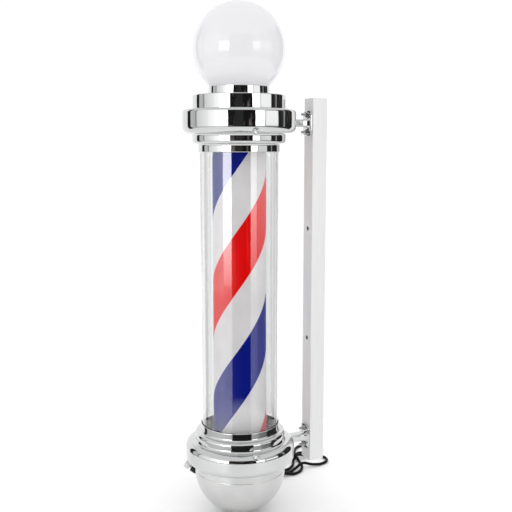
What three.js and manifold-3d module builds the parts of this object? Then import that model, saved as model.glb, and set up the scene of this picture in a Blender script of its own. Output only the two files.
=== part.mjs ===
// A wall-mounted barber pole light: an opal globe and a clear tube between two stepped chrome
// ring castings, with a striped drum that a small geared motor turns inside the tube.
// Millimetres, +Z up. The origin is the middle of the wall rail's back face, the wall is the
// plane y = 0 and the pole stands on -Y.
import * as THREE from "three";
import { mergeVertices } from "three/addons/utils/BufferGeometryUtils.js";
import Module from "manifold-3d";

const wasm = await Module();
wasm.setup();

// ---- Driving dimensions ----
const GAP = 0.3; // between pieces that touch on the real object
const POLE_Y = -160; // the pole's axis, from the wall
const ROUND = 28; // sides of the large turned pieces
const SMALL_ROUND = 16; // sides of the small ones

const MOUTH_Z = 231.5; // where a ring casting's mouth takes the clear tube
const END_Z = 300.5; // a ring casting's outer end face
const LIP_R = 66.5; // radius of the mouth's bore
const TIER_R = [68, 77.5, 94]; // the casting's three steps, from the mouth out
const SHOULDER_R = 12; // the quarter-round between the second step and the widest wall
const SHOULDER_Z = 273; // where it meets that wall
const END_FILLET = 8;
const SKIN = 2.7; // the castings' wall
const FLANGE_BORE_R = 60; // the opening in their flanges

const TUBE_R = 65.5;
const TUBE_WALL = 2.5;
const TUBE_END_Z = 249.4;
const TUBE_GASKET = { inner: 62.5, outer: 65.7, thick: 2 };
const DRUM_R = 45;
const DRUM_WALL = 1;
const DRUM_END_Z = 246;
const HUB_R = 10;
const GRUB_DROP = 9; // from the drum's end down to the grub screw

const CAP_R = 77;
const CAP_TOP_Z = 323.5;
const COLLAR_R = 50.4;
const COLLAR_TOP_Z = 337;
const GLOBE_R = 78;
const GLOBE_Z = 397.8;
const GLOBE_WALL = 2.5;
const GLOBE_NECK_R = 42;
const GLOBE_NECK_Z = COLLAR_TOP_Z - 9.6;
const COLLAR_BORE_R = 36;
const HOLDER_R = 24; // the lampholders' flanges
const COLUMN_NECK_R = 15.2; // the long lampholder's neck, which the drum's bush turns on
const COLUMN_MOUTH_Z = 232;
const DOME_R = 78.5;
const DOME_WALL = 2.5;
const DOME_Z = -314.5; // centre of the dome's hemisphere
const PLATE_R = 70; // the carrier plates inside the cap and the dome
const PLATE_T = 2;

const RAIL = { width: 30, depth: 28, length: 645, wall: 1.5 };
const RAIL_HOLE_Z = 98;
const RAIL_ACCESS_R = 4; // in the front wall, for the screwdriver
const RAIL_SCREW_R = 2.5; // in the back wall, for the wall screw
const BRACKET_Z = 280;
const BRACKET_PLATE = { width: 28, height: 44, thick: 3, corner: 8 };
const BRACKET_ARM = { width: 20, height: 12.7 };
const BOLT_OFFSET = 15.2; // from the arm's middle to each bolt
const BOLT_R = 2.4;
const BOLT_HOLE_R = 2.8;
const NUT_FLATS = 8;
const NUT_T = 4;

const MODULE = 1.1; // gear tooth size
const WHEEL_TEETH = 30;
const PINION_TEETH = 10;
const SHAFT_R = 3;
const CENTRES = (MODULE * (WHEEL_TEETH + PINION_TEETH)) / 2;
const ROTOR_X = 15; // the rotor's axis, from the output shaft's
const MOTOR_TOP_Z = -303.1;
const UPPER_GEARS_Z = -311.5;
const LOWER_GEARS_Z = -316.2;
const BASE_TOP_Z = LOWER_GEARS_Z - 1.6; // the motor's base, under the gears
const MOTOR_CAN_BOTTOM_Z = BASE_TOP_Z - 24.7;
const MOTOR_CAN_R = 26;
const EAR_REACH = 40; // from the gearbox's middle to each fixing screw
const SCREW_HOLE_R = 2.2;
const GEARBOX = { x: 5, y: 8, r: 35 };

const BUTTON_ANGLE = 233; // degrees round the pole from +X
const BUTTON_TILT = 30; // degrees above level
const BUTTON_TRAVEL = 3;
const BEZEL = { low: -13, high: 12.6, r: 7.4, barrel: 5.9, bore: 3.5, boreLow: -9 };
const BUTTON_CAP = { r: 7, height: 10, stem: 3.1, ribs: 12 };
const GLAND_ANGLE = 135;
const GLAND_Z = -311;
const TERMINALS = { x: -46, y: -12, width: 32, depth: 14, height: 13, port: 5, pitch: 10.5 };
const SHOULDER_NUT_ANGLES = [-8, 188];

const CORD_R = 2.75;
const FLOOR_Z = -393; // level with the dome's lowest point
const COIL = { x: -128, y: -104, middle: 30, thick: 17.6, height: 11.8 };
const TIE_T = 0.8;
const TIE_WIDTH = 7;
const TIE_ANGLE = -40;
const COIL_LOW = FLOOR_Z + TIE_T + GAP;
const PLUG = { x: -165.7, y: -125, height: 16, wide: 12, end: 46, pinGap: 12.7 };
const PLUG_TURN = 155; // the way the plug points, in degrees from +X

const rad = THREE.MathUtils.degToRad;
const deg = THREE.MathUtils.radToDeg;
const v2 = (x, y) => new THREE.Vector2(x, y);
const v3 = (x, y, z) => new THREE.Vector3(x, y, z);

// ---- Solids ----

// The geometry with only its positions, shared vertices merged and faces turned outwards.
function clean(geometry) {
  const g = geometry.clone();
  for (const name of Object.keys(g.attributes)) {
    if (name !== "position") g.deleteAttribute(name);
  }
  const merged = mergeVertices(g, 1e-4);
  const index = merged.index.array;
  const p = merged.attributes.position;
  const kept = [];
  let volume = 0;
  for (let i = 0; i < index.length; i += 3) {
    const [a, b, c] = [index[i], index[i + 1], index[i + 2]];
    if (a === b || b === c || c === a) continue;
    kept.push(a, b, c);
    const [A, B, C] = [a, b, c].map((k) => v3().fromBufferAttribute(p, k));
    volume += A.dot(B.cross(C));
  }
  merged.setIndex(volume < 0 ? kept.reverse() : kept);
  return merged;
}

function toSolid(geometry) {
  const g = clean(geometry);
  return new wasm.Manifold(
    new wasm.Mesh({
      numProp: 3,
      vertProperties: g.attributes.position.array,
      triVerts: new Uint32Array(g.index.array),
    }),
  );
}

function toGeometry(solid) {
  const mesh = solid.getMesh();
  const g = new THREE.BufferGeometry();
  g.setAttribute("position", new THREE.BufferAttribute(mesh.vertProperties, 3));
  g.setIndex(new THREE.BufferAttribute(mesh.triVerts, 1));
  return g;
}

function cut(body, ...tools) {
  return toGeometry(tools.reduce((s, t) => s.subtract(toSolid(t)), toSolid(body)));
}

function join(...bodies) {
  return toGeometry(bodies.slice(1).reduce((s, b) => s.add(toSolid(b)), toSolid(bodies[0])));
}

// A profile of [radius, z] points turned about Z. It closes on itself unless both its ends are on the axis.
function turned(profile, sides = ROUND) {
  const points = profile.map(([r, z]) => v2(r, z));
  const onAxis = points[0].x === 0 && points.at(-1).x === 0;
  if (!onAxis) points.push(points[0].clone());
  return new THREE.LatheGeometry(points, sides).rotateX(Math.PI / 2);
}

const rod = (r, z0, z1, sides) => turned([[0, z0], [r, z0], [r, z1], [0, z1]], sides);
const ring = (inner, outer, z0, z1, sides) =>
  turned([[inner, z0], [outer, z0], [outer, z1], [inner, z1]], sides);

// Points of a circular arc in a profile, with both its ends.
function arc(r, z, radius, from, to, steps) {
  return Array.from({ length: steps + 1 }, (_, i) => {
    const a = rad(from + ((to - from) * i) / steps);
    const x = r + radius * Math.cos(a);
    return [Math.abs(x) < 1e-6 ? 0 : x, z + radius * Math.sin(a)];
  });
}

function extruded(shape, depth) {
  return new THREE.ExtrudeGeometry(shape, { depth, bevelEnabled: false, curveSegments: 4 });
}

function box(x, y, z) {
  return new THREE.BoxGeometry(x, y, z);
}

function polygon(sides, r) {
  const corners = Array.from({ length: sides }, (_, i) => {
    const a = (2 * Math.PI * i) / sides;
    return v2(r * Math.cos(a), r * Math.sin(a));
  });
  return new THREE.Shape(corners);
}

function roundedRectangle(width, height, corner) {
  const [x, y] = [width / 2, height / 2];
  const s = new THREE.Shape();
  s.moveTo(-x + corner, -y);
  s.lineTo(x - corner, -y);
  s.absarc(x - corner, -y + corner, corner, -Math.PI / 2, 0);
  s.lineTo(x, y - corner);
  s.absarc(x - corner, y - corner, corner, 0, Math.PI / 2);
  s.lineTo(-x + corner, y);
  s.absarc(-x + corner, y - corner, corner, Math.PI / 2, Math.PI);
  s.lineTo(-x, -y + corner);
  s.absarc(-x + corner, -y + corner, corner, Math.PI, Math.PI * 1.5);
  return s;
}

// ---- Materials and placing ----

const MATERIALS = {
  chrome: { color: 0xd8dadd, metalness: 1, roughness: 0.08 },
  opal: { color: 0xf2f2f4, metalness: 0, roughness: 0.15 },
  clear: { color: 0xf4f8f8, metalness: 0, roughness: 0.05, transparent: true, opacity: 0.3 },
  stripes: { color: 0xe0dddd, metalness: 0, roughness: 0.35 },
  steel: { color: 0xa8abae, metalness: 1, roughness: 0.35 },
  rail: { color: 0xd0d1d1, metalness: 0.6, roughness: 0.35 },
  black: { color: 0x101011, metalness: 0, roughness: 0.4 },
  ribbed: { color: 0xe6e8e6, metalness: 0, roughness: 0.25 },
  white: { color: 0xeeeeea, metalness: 0, roughness: 0.4 },
  brass: { color: 0xc09a4a, metalness: 1, roughness: 0.3 },
  copper: { color: 0xb06030, metalness: 1, roughness: 0.4 },
  magnet: { color: 0x33353a, metalness: 0.4, roughness: 0.5 },
};

function piece(name, material, geometry) {
  const g = clean(geometry);
  g.computeVertexNormals();
  const m = new THREE.MeshStandardMaterial({ ...MATERIALS[material], flatShading: true });
  const mesh = new THREE.Mesh(g, m);
  mesh.name = name;
  return mesh;
}

function polar(r, degrees, z = 0) {
  return v3(r * Math.cos(rad(degrees)), r * Math.sin(rad(degrees)), z);
}

// The matrix that takes +Z to a direction, and the origin to a point.
function aim(origin, direction) {
  const turn = new THREE.Quaternion().setFromUnitVectors(v3(0, 0, 1), direction.clone().normalize());
  return new THREE.Matrix4().compose(origin, turn, v3(1, 1, 1));
}

const BUTTON_FRAME = aim(
  polar(DOME_R - 1.5, BUTTON_ANGLE, -329),
  polar(Math.cos(rad(BUTTON_TILT)), BUTTON_ANGLE, Math.sin(rad(BUTTON_TILT))),
);
const GLAND_FRAME = aim(polar(DOME_R, GLAND_ANGLE, GLAND_Z), polar(1, GLAND_ANGLE));

// ---- Ring castings ----

// The upper casting, about its own axis: a socket for the tube, two steps, a quarter-round and a wall.
function ringCasting() {
  const [mouthR, stepR, wallR] = TIER_R;
  const ledgeZ = SHOULDER_Z - SHOULDER_R;
  const lipZ = TUBE_END_Z + 2.6;
  const body = turned([
    [LIP_R, MOUTH_Z],
    [mouthR, MOUTH_Z],
    [mouthR, MOUTH_Z + 13.3],
    [stepR - 2, MOUTH_Z + 13.8],
    [stepR, MOUTH_Z + 16],
    [stepR, ledgeZ],
    ...arc(wallR - SHOULDER_R, SHOULDER_Z, SHOULDER_R, -90, 0, 4),
    ...arc(wallR - END_FILLET, END_Z - END_FILLET, END_FILLET, 0, 90, 2),
    [FLANGE_BORE_R, END_Z],
    [FLANGE_BORE_R, END_Z - SKIN],
    [wallR - END_FILLET, END_Z - SKIN],
    [wallR - SKIN, END_Z - END_FILLET],
    ...arc(wallR - SHOULDER_R, SHOULDER_Z, SHOULDER_R - SKIN, 0, -90, 3),
    [stepR - SKIN, ledgeZ + SKIN],
    [stepR - SKIN, lipZ + SKIN],
    [FLANGE_BORE_R, lipZ + SKIN],
    [FLANGE_BORE_R, lipZ],
    [LIP_R, lipZ],
  ]);
  const armHole = rod(BOLT_HOLE_R, 80, 100, 12)
    .rotateX(-Math.PI / 2)
    .translate(0, 0, BRACKET_Z);
  const nutHoles = SHOULDER_NUT_ANGLES.map((a) => rod(2.3, -8, 4, 12).applyMatrix4(shoulderFrame(a)));
  return cut(body, armHole, ...nutHoles);
}

// The frame of a domed nut on the quarter-round, with +Z square to the surface and 45 degrees off the axis.
function shoulderFrame(angle) {
  const reach = SHOULDER_R * Math.SQRT1_2;
  const seatR = TIER_R[2] - SHOULDER_R + reach;
  return aim(polar(seatR, angle, SHOULDER_Z - reach), polar(1, angle, -1));
}

function shoulderNut() {
  const shankR = 1.9;
  const flangeR = 6.2;
  return turned([
    [0, -6],
    [shankR, -6],
    [shankR, 0.5],
    [flangeR, 0.5],
    [flangeR, 2.4],
    ...arc(0, 3, 5.2, 0, 90, 3),
  ], 12);
}

// A ring of rubber on the tube's end, inside the casting's socket.
function tubeGasket() {
  const { inner, outer, thick } = TUBE_GASKET;
  const base = TUBE_END_Z + GAP;
  return ring(inner, outer, base, base + thick, 24);
}

// A pan-head screw from inside the casting's wall into the end of the bracket's arm.
function armScrew() {
  const wallInside = TIER_R[2] - SKIN;
  const shank = rod(BOLT_R, wallInside - 1.3, wallInside + 16.7, 12);
  const head = rod(4.5, wallInside - 4.5, wallInside - 0.8, 12);
  return join(shank, head).rotateX(-Math.PI / 2).translate(0, 0, BRACKET_Z);
}

// Both castings are one pattern, and the lower one is the upper one's mirror image in the plane z = 0.
function castings(group) {
  const upper = new THREE.Group();
  const lower = new THREE.Group();
  lower.scale.set(1, 1, -1);
  group.add(upper, lower);
  [["top", upper, 1], ["bottom", lower, 3]].forEach(([side, g, first]) => {
    g.add(piece(side + "_ring", "chrome", ringCasting()));
    g.add(piece(side + "_tube_gasket", "black", tubeGasket()));
    SHOULDER_NUT_ANGLES.forEach((a, i) => {
      const nut = shoulderNut().applyMatrix4(shoulderFrame(a));
      g.add(piece("ring_cap_nut_" + (first + i), "chrome", nut));
    });
    g.add(piece(side + "_arm_screw", "steel", armScrew()));
  });
}

// ---- Globe, cap and lamps ----

function globe() {
  const inner = GLOBE_R - GLOBE_WALL;
  const bore = GLOBE_NECK_R - GLOBE_WALL;
  const start = (r, neck) => -deg(Math.acos(neck / r)); // where a ball of radius r meets the neck
  return turned([
    [GLOBE_NECK_R, GLOBE_NECK_Z],
    ...arc(0, GLOBE_Z, GLOBE_R, start(GLOBE_R, GLOBE_NECK_R), 90, 10),
    ...arc(0, GLOBE_Z, inner, 90, start(inner, bore), 8),
    [bore, GLOBE_NECK_Z],
  ]);
}

function globeCollar() {
  const base = CAP_TOP_Z + GAP;
  const inner = GLOBE_NECK_R + 2.5;
  const floorZ = base + 2.5;
  return turned([
    [COLLAR_BORE_R, base],
    [COLLAR_R, base],
    [COLLAR_R, COLLAR_TOP_Z - 0.5],
    [COLLAR_R - 0.5, COLLAR_TOP_Z],
    [inner + 4.9, COLLAR_TOP_Z],
    [inner, COLLAR_TOP_Z - 5],
    [inner, floorZ],
    [COLLAR_BORE_R, floorZ],
  ]);
}

function topCap() {
  const base = END_Z + GAP;
  const wall = 2.5;
  const edge = 1.5;
  const openingR = 30;
  return turned([
    [CAP_R - wall, base],
    [CAP_R, base],
    ...arc(CAP_R - edge, CAP_TOP_Z - edge, edge, 0, 90, 2),
    [openingR, CAP_TOP_Z],
    [openingR, CAP_TOP_Z - wall],
    [CAP_R - wall, CAP_TOP_Z - wall],
  ]);
}

function topPlate() {
  const z = END_Z + GAP;
  const wireHoles = [-36, 36].map((x) => rod(4, z - 5, z + 5, 12).translate(x, 0, 0));
  return cut(rod(PLATE_R, z, z + PLATE_T), ...wireHoles);
}

function globeLampholder() {
  const base = END_Z + PLATE_T + 2 * GAP;
  const top = base + 41;
  const bodyR = 19;
  const socketR = 13.6;
  return turned([
    [0, base],
    [HOLDER_R, base],
    [HOLDER_R, base + 2.5],
    [bodyR, base + 4],
    [bodyR, top - 2],
    [bodyR - 1.5, top],
    [socketR, top],
    [socketR, base + 14],
    [0, base + 14],
  ], SMALL_ROUND);
}

function globeBulb() {
  const base = 319;
  const capR = 13;
  const bulbR = 30;
  return turned([
    [0, base],
    [capR - 4, base],
    [capR, base + 3],
    [capR, base + 29],
    [capR + 4, base + 37],
    [bulbR - 4, base + 55],
    ...arc(0, base + 73, bulbR, -25, 90, 5),
  ], 18);
}

function columnLampholder() {
  const top = END_Z - GAP;
  const socketR = 12.6;
  const socketTopZ = COLUMN_MOUTH_Z + 30;
  return turned([
    [0, top],
    [HOLDER_R, top],
    [HOLDER_R, top - 2.5],
    [COLUMN_NECK_R, top - 4],
    [COLUMN_NECK_R, COLUMN_MOUTH_Z + 1],
    [socketR, COLUMN_MOUTH_Z],
    [socketR, socketTopZ],
    [0, socketTopZ],
  ], SMALL_ROUND);
}

function columnLamp() {
  const glassR = 11;
  const capR = 12.2;
  const top = COLUMN_MOUTH_Z + 28;
  return turned([
    [0, top],
    [capR, top],
    [capR, COLUMN_MOUTH_Z - 3],
    [glassR, COLUMN_MOUTH_Z - 6],
    ...arc(0, -140, glassR, 0, -90, 3),
  ], SMALL_ROUND);
}

function lampSide(group) {
  group.add(piece("globe", "opal", globe()));
  const gasket = ring(COLLAR_BORE_R + 1, GLOBE_NECK_R + 2, CAP_TOP_Z + 3.1, GLOBE_NECK_Z - GAP, 24);
  group.add(piece("globe_gasket", "black", gasket));
  group.add(piece("globe_collar", "chrome", globeCollar()));
  group.add(piece("top_cap", "chrome", topCap()));
  group.add(piece("top_plate", "steel", topPlate()));
  group.add(piece("globe_lampholder", "white", globeLampholder()));
  group.add(piece("globe_bulb", "opal", globeBulb()));
  group.add(piece("column_lampholder", "white", columnLampholder()));
  group.add(piece("column_lamp", "opal", columnLamp()));
  const tube = ring(TUBE_R - TUBE_WALL, TUBE_R, -TUBE_END_Z, TUBE_END_Z);
  group.add(piece("outer_tube", "clear", tube));
}

// ---- Drum ----

function driveHub() {
  const z = -DRUM_END_Z;
  const bore = SHAFT_R + GAP;
  const body = turned([
    [bore, z - 14],
    [HUB_R, z - 14],
    [HUB_R, z - 3],
    [HUB_R + 6, z - 3],
    [HUB_R + 6, z - GAP],
    [bore, z - GAP],
  ], SMALL_ROUND);
  return cut(body, rod(SCREW_HOLE_R, 0, HUB_R + 2, 12).rotateY(Math.PI / 2).translate(0, 0, z - GRUB_DROP));
}

// The drum's upper end: a disc inside the film with a neck that holds the bush.
function drumTopRing(outer) {
  const z = DRUM_END_Z;
  const bore = COLUMN_NECK_R + 3.8;
  return turned([
    [bore, z - 8],
    [outer, z - 8],
    [outer, z - 5],
    [bore + 3, z - 5],
    [bore + 3, z],
    [bore, z],
  ], 24);
}

function drumGuideBush() {
  const z = DRUM_END_Z;
  const bore = COLUMN_NECK_R + GAP;
  const sleeve = COLUMN_NECK_R + 3.4;
  return turned([
    [bore, z - 7],
    [sleeve, z - 7],
    [sleeve, z + 2],
    [sleeve + 3.4, z + 2],
    [sleeve + 3.4, z + 4],
    [bore, z + 4],
  ], 20);
}

function drum(group) {
  const inner = DRUM_R - DRUM_WALL;
  const fit = inner - GAP;
  const z = DRUM_END_Z;
  group.add(piece("drum_shell", "stripes", ring(inner, DRUM_R, -z, z, 36)));
  group.add(piece("drum_top_ring", "white", drumTopRing(fit)));
  group.add(piece("drum_bottom_disc", "white", ring(SHAFT_R + GAP, fit, -z, -z + 3)));
  group.add(piece("drum_guide_bush", "white", drumGuideBush()));
  group.add(piece("drive_hub", "brass", driveHub()));
  const grub = rod(1.9, SHAFT_R + 2 * GAP, HUB_R + 0.5, 10).rotateY(Math.PI / 2);
  group.add(piece("hub_grub_screw", "steel", grub.translate(0, 0, -z - GRUB_DROP)));
  group.add(piece("output_shaft", "steel", rod(SHAFT_R, UPPER_GEARS_Z - 0.5, -z + 4, 16)));
}

// ---- Geared motor ----

// A spur gear of straight-sided teeth between z0 and z1, with the middle of one tooth at the given angle.
function gear(teeth, z0, z1, angle, boreR) {
  const pitchR = (MODULE * teeth) / 2;
  const pitch = (2 * Math.PI) / teeth;
  const rootR = pitchR - 1.25 * MODULE;
  const tipR = pitchR + 0.8 * MODULE;
  const root = (2.05 * MODULE) / 2 / rootR; // half a tooth's angle at its root
  const tip = (0.8 * MODULE) / 2 / tipR;
  const corners = [];
  for (let i = 0; i < teeth; i += 1) {
    const middle = rad(angle) + i * pitch;
    [[rootR, -root], [tipR, -tip], [tipR, tip], [rootR, root]].forEach(([r, a]) => {
      corners.push(v2(r * Math.cos(middle + a), r * Math.sin(middle + a)));
    });
  }
  const shape = new THREE.Shape(corners);
  if (boreR) shape.holes.push(new THREE.Path().absarc(0, 0, boreR, 0, Math.PI * 2, true));
  return extruded(shape, z1 - z0).translate(0, 0, z0);
}

// Where the intermediate gear turns: one centre distance from both the output shaft and the rotor.
const LAYSHAFT = v2(ROTOR_X / 2, Math.sqrt(CENTRES ** 2 - (ROTOR_X / 2) ** 2));
const TO_LAYSHAFT = deg(LAYSHAFT.angle());
const TO_ROTOR = deg(v2(ROTOR_X - LAYSHAFT.x, -LAYSHAFT.y).angle());
const HALF_TOOTH = 180 / WHEEL_TEETH;
const UPPER_GEARS_TOP_Z = UPPER_GEARS_Z + 3.5;

function gearTrain(group) {
  const meshed = TO_LAYSHAFT + HALF_TOOTH;
  const output = gear(WHEEL_TEETH, UPPER_GEARS_Z, UPPER_GEARS_TOP_Z, meshed, SHAFT_R + GAP);
  group.add(piece("output_gear", "brass", output));
  const boreR = 1.7;
  const layshaft = join(
    gear(WHEEL_TEETH, LOWER_GEARS_Z, LOWER_GEARS_Z + 3, TO_ROTOR + HALF_TOOTH, boreR),
    gear(PINION_TEETH, LOWER_GEARS_Z + 2, UPPER_GEARS_TOP_Z, TO_LAYSHAFT + 180, boreR),
  );
  group.add(piece("layshaft_gear", "white", layshaft.translate(LAYSHAFT.x, LAYSHAFT.y, 0)));
  const pin = rod(1.35, LOWER_GEARS_Z - 3, MOTOR_TOP_Z - 2.5, 12);
  group.add(piece("layshaft_pin", "steel", pin.translate(LAYSHAFT.x, LAYSHAFT.y, 0)));
  const rotor = join(
    gear(PINION_TEETH, LOWER_GEARS_Z - 0.2, LOWER_GEARS_Z + 3.2, TO_ROTOR + 180, 0),
    rod(2, MOTOR_CAN_BOTTOM_Z + 2, LOWER_GEARS_Z, 12),
  );
  group.add(piece("rotor_pinion", "brass", rotor.translate(ROTOR_X, 0, 0)));
}

function gearboxCover() {
  const { x, y, r } = GEARBOX;
  const [top, rim, wall] = [MOTOR_TOP_Z, BASE_TOP_Z + GAP, 1.6];
  const cup = turned([
    [0, top],
    [r, top],
    [r, rim],
    [r - wall, rim],
    [r - wall, top - 2],
    [0, top - 2],
  ]);
  const ears = box(2 * EAR_REACH + 10, 10, 2).translate(0, 0, top - 1);
  const holes = [-EAR_REACH, EAR_REACH].map((e) =>
    rod(SCREW_HOLE_R, top - 5, top + 5, 12).translate(e, 0, 0),
  );
  const bushHole = rod(5, top - 5, top + 5, 20).translate(-x, -y, 0);
  return cut(join(cup, ears), ...holes, bushHole).translate(x, y, 0);
}

function motorCan() {
  const [z0, z1, wall] = [MOTOR_CAN_BOTTOM_Z, BASE_TOP_Z, 1.5];
  const base = rod(GEARBOX.r, z1 - 2, z1).translate(GEARBOX.x, GEARBOX.y, 0);
  const can = rod(MOTOR_CAN_R, z0, z1 - 1).translate(ROTOR_X, 0, 0);
  const hollow = rod(MOTOR_CAN_R - wall, z0 + wall, z1 - 2).translate(ROTOR_X, 0, 0);
  const shaftHole = rod(2.4, z1 - 4, z1 + 1, 12).translate(ROTOR_X, 0, 0);
  const pinHole = rod(1.7, z1 - 2.5, z1 + 1, 12).translate(LAYSHAFT.x, LAYSHAFT.y, 0);
  return cut(join(base, can), hollow, shaftHole, pinHole);
}

function motor(group) {
  gearTrain(group);
  const z = MOTOR_CAN_BOTTOM_Z;
  const magnet = ring(2.35, 13.5, z + 3.5, z + 20, 24);
  const coil = ring(14.6, MOTOR_CAN_R - 2, z + 2, z + 21.5, 24);
  group.add(piece("rotor_magnet", "magnet", magnet.translate(ROTOR_X, 0, 0)));
  group.add(piece("motor_coil", "copper", coil.translate(ROTOR_X, 0, 0)));
  group.add(piece("motor_can", "steel", motorCan()));
  group.add(piece("gearbox_cover", "steel", gearboxCover()));
  group.add(piece("output_bush", "brass", outputBush()));
  [-EAR_REACH, EAR_REACH].forEach((e, i) => {
    const screw = motorScrew().translate(GEARBOX.x + e, GEARBOX.y, 0);
    group.add(piece("motor_screw_" + (i + 1), "steel", screw));
  });
}

// A flanged bush in the gearbox cover's hole, for the output shaft.
function outputBush() {
  const top = MOTOR_TOP_Z;
  const bore = SHAFT_R + GAP;
  const flangeTop = top - 2 - GAP;
  return turned([
    [bore, top - 4],
    [6.5, top - 4],
    [6.5, flangeTop],
    [4.7, flangeTop],
    [4.7, top + 3],
    [bore, top + 3],
  ], 20);
}

// A screw from below, through the cover's ear into the motor plate.
function motorScrew() {
  const top = MOTOR_TOP_Z;
  const seat = top - 2 - GAP;
  return turned([
    [0, seat - 3],
    [3.6, seat - 3],
    [3.6, seat],
    [1.8, seat],
    [1.8, top + 5],
    [0, top + 5],
  ], 12);
}

function motorPlate() {
  const top = -END_Z - GAP;
  const hole = (r, x, y) => rod(r, top - 6, top + 4, 16).translate(x, y, 0);
  return cut(
    rod(PLATE_R, top - PLATE_T, top),
    hole(6.5, 0, 0),
    hole(SCREW_HOLE_R, GEARBOX.x - EAR_REACH, GEARBOX.y),
    hole(SCREW_HOLE_R, GEARBOX.x + EAR_REACH, GEARBOX.y),
    hole(5, 0, -45),
  );
}

// ---- Dome, switch and cable gland ----

function domeCover() {
  const top = -END_Z - GAP;
  const inner = DOME_R - DOME_WALL;
  const shell = turned([
    [DOME_R, top],
    ...arc(0, DOME_Z, DOME_R, 0, -90, 7),
    ...arc(0, DOME_Z, inner, -90, 0, 6),
    [inner, top],
  ]);
  return cut(
    shell,
    rod(6.4, -16, 16, 20).applyMatrix4(BUTTON_FRAME),
    rod(6, -9, 9, 20).applyMatrix4(GLAND_FRAME),
  );
}

// The black bezel: a boss seated on the dome, a barrel through its wall and a blind bore for the stem.
function buttonBezel() {
  const { low, high, r, barrel, bore, boreLow } = BEZEL;
  const seat = DOME_R + GAP;
  const skirt = rod(seat, DOME_Z, -END_Z + 9);
  const bowl = turned(arc(0, DOME_Z, seat, -90, 90, 24));
  const placed = (radius, z0, z1, sides) => rod(radius, z0, z1, sides).applyMatrix4(BUTTON_FRAME);
  const boss = cut(placed(r, -10, high, 24), skirt, bowl);
  return cut(join(boss, placed(barrel, low, 9, 24)), placed(bore, boreLow, high + 2, 16));
}

// The cap is ribbed all round, with a stem that slides in the bezel.
function buttonCap() {
  const { r, height, stem, ribs } = BUTTON_CAP;
  const under = BEZEL.high + BUTTON_TRAVEL + GAP;
  const stemLow = BEZEL.boreLow + BUTTON_TRAVEL + GAP;
  const body = join(rod(r, under, under + height, 24), rod(stem, stemLow, under + 1, 16));
  const grips = Array.from({ length: ribs }, (_, i) =>
    box(1.2, 1.4, height - 1).translate(r + 0.1, 0, under + 4.8).rotateZ((2 * Math.PI * i) / ribs),
  );
  return join(body, ...grips);
}

function cableGland() {
  const bore = CORD_R + GAP;
  const barrel = 5.6;
  const end = 21.6;
  return turned([
    [bore, -9],
    [7.5, -9],
    [7.5, -4],
    [barrel, -4],
    [barrel, 0.6],
    [8.2, 0.6],
    [8.2, 3.6],
    [6, 4.4],
    [4.3, end],
    [bore, end],
  ], SMALL_ROUND);
}

function domeSide(group) {
  group.add(piece("motor_plate", "steel", motorPlate()));
  group.add(piece("dome_cover", "chrome", domeCover()));
  group.add(piece("button_bezel", "black", buttonBezel()));
  group.add(piece("button_cap", "ribbed", buttonCap().applyMatrix4(BUTTON_FRAME)));
  group.add(piece("cable_gland", "black", cableGland().applyMatrix4(GLAND_FRAME)));
  group.add(piece("terminal_block", "white", terminalBlock()));
}

// Three ports through a block that hangs under the motor plate.
function terminalBlock() {
  const { x, y, width, depth, height, port, pitch } = TERMINALS;
  const top = -END_Z - PLATE_T - 2 * GAP;
  const block = box(width, depth, height).translate(x, y, top - height / 2);
  const ports = [-pitch, 0, pitch].map((across) =>
    box(port, depth + 6, port).translate(x + across, y, -END_Z - 12),
  );
  return cut(block, ...ports);
}

// ---- Wall rail and brackets ----

function wallRail() {
  const { width, depth, length, wall } = RAIL;
  const outer = box(width, depth, length).translate(0, -depth / 2, 0);
  const inner = box(width - 2 * wall, depth - 2 * wall, length + 10).translate(0, -depth / 2, 0);
  const [front, back] = [-depth, 0];
  const screwHoles = [-RAIL_HOLE_Z, RAIL_HOLE_Z].flatMap((z) => [
    barAlongY(RAIL_ACCESS_R, front - 5, front + 5, z),
    barAlongY(RAIL_SCREW_R, back - 5, back + 5, z),
  ]);
  const boltHoles = boltPlaces().map((z) => barAlongY(BOLT_HOLE_R, front - 5, front + 5, z));
  return cut(outer, inner, ...screwHoles, ...boltHoles);
}

function barAlongY(r, y0, y1, z, sides = 16) {
  return rod(r, y0, y1, sides).rotateX(-Math.PI / 2).translate(0, 0, z);
}

function boltPlaces() {
  return [-BRACKET_Z, BRACKET_Z].flatMap((z) => [z - BOLT_OFFSET, z + BOLT_OFFSET]);
}

// A plate with round corners against the rail, and an arm that ends in the curve of the ring's wall.
function bracket() {
  const { width, height, thick, corner } = BRACKET_PLATE;
  const back = -RAIL.depth - GAP;
  const plate = extruded(roundedRectangle(width, height, corner), thick)
    .rotateX(Math.PI / 2)
    .translate(0, back, 0);
  const wallR = TIER_R[2] + GAP;
  const armStart = POLE_Y + wallR - 4;
  const armLength = back - thick + 1 - armStart;
  const arm = extruded(roundedRectangle(BRACKET_ARM.width, BRACKET_ARM.height, 3), armLength)
    .rotateX(-Math.PI / 2)
    .translate(0, armStart, 0);
  const ringWall = rod(wallR, -20, 20, ROUND * 2).translate(0, POLE_Y, 0);
  const bolts = [-BOLT_OFFSET, BOLT_OFFSET].map((z) => barAlongY(BOLT_HOLE_R, -60, 0, z));
  const screwHole = barAlongY(BOLT_HOLE_R, 80, 110, 0, 12).translate(0, POLE_Y, 0);
  return cut(join(plate, arm), ringWall, ...bolts, screwHole);
}

// A bolt from inside the rail: its round head is on the rail's front wall, its end towards the pole.
function bracketBolt() {
  const seat = -RAIL.depth + RAIL.wall + GAP;
  const end = -42;
  return turned([
    [0, end],
    [BOLT_R - 0.6, end],
    [BOLT_R, end + 0.6],
    [BOLT_R, seat],
    [4.5, seat],
    [3.4, seat + 2],
    [0, seat + 2.6],
  ], 12).rotateX(-Math.PI / 2);
}

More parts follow.
